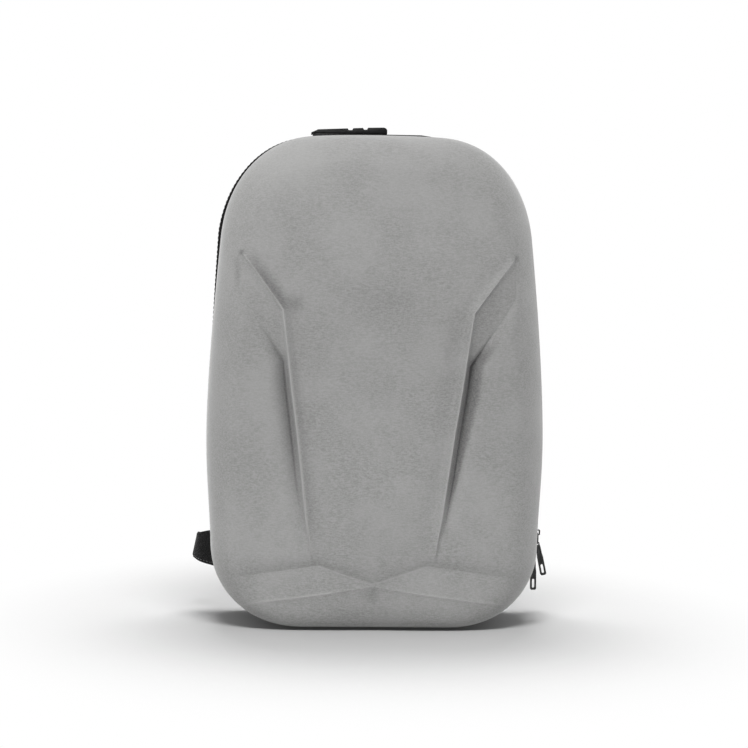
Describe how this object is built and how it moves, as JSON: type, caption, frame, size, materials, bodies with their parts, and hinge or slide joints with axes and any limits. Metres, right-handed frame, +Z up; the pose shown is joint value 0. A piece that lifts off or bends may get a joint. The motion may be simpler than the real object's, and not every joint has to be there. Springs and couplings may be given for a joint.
{
  "type": "hard-shell backpack",
  "caption": "Grey moulded hard-shell backpack with a sculpted front panel, black gusset, zip with hanging pulls, a low lock on top and padded shoulder straps.",
  "frame": {"origin": "on the supporting surface, in the middle of the gusset's flat foot", "axes": "+Z up along the bag's height, the sculpted front faces -Y, +X to the right of someone who faces the front"},
  "size_m": [0.3567, 0.2221, 0.4907],
  "materials": {
    "shell_fabric": "matte",
    "black_fabric": "matte",
    "webbing": "woven",
    "zip": "woven tape with a plastic coil",
    "lock_plastic": "satin",
    "black_plastic": "satin",
    "black_metal": "black plated"
  },
  "bodies": {
    "root": {"front_shell": "shell_fabric", "zip_tape": "zip", "side_gusset": "black_fabric", "back_panel": "black_fabric", "lock_base": "lock_plastic", "lock_body": "lock_plastic", "zip_slider_upper": "black_metal", "zip_slider_lower": "black_metal", "zip_ring_upper": "black_metal", "zip_ring_lower": "black_metal", "zip_pull_upper": "black_metal", "zip_pull_lower": "black_metal", "shoulder_strap_left": "black_fabric", "shoulder_strap_right": "black_fabric", "strap_adjuster_left": "black_plastic", "strap_adjuster_right": "black_plastic", "strap_tab_left": "webbing", "strap_tab_right": "webbing", "strap_webbing_left": "webbing", "strap_webbing_right": "webbing"}
  },
  "joints": []
}
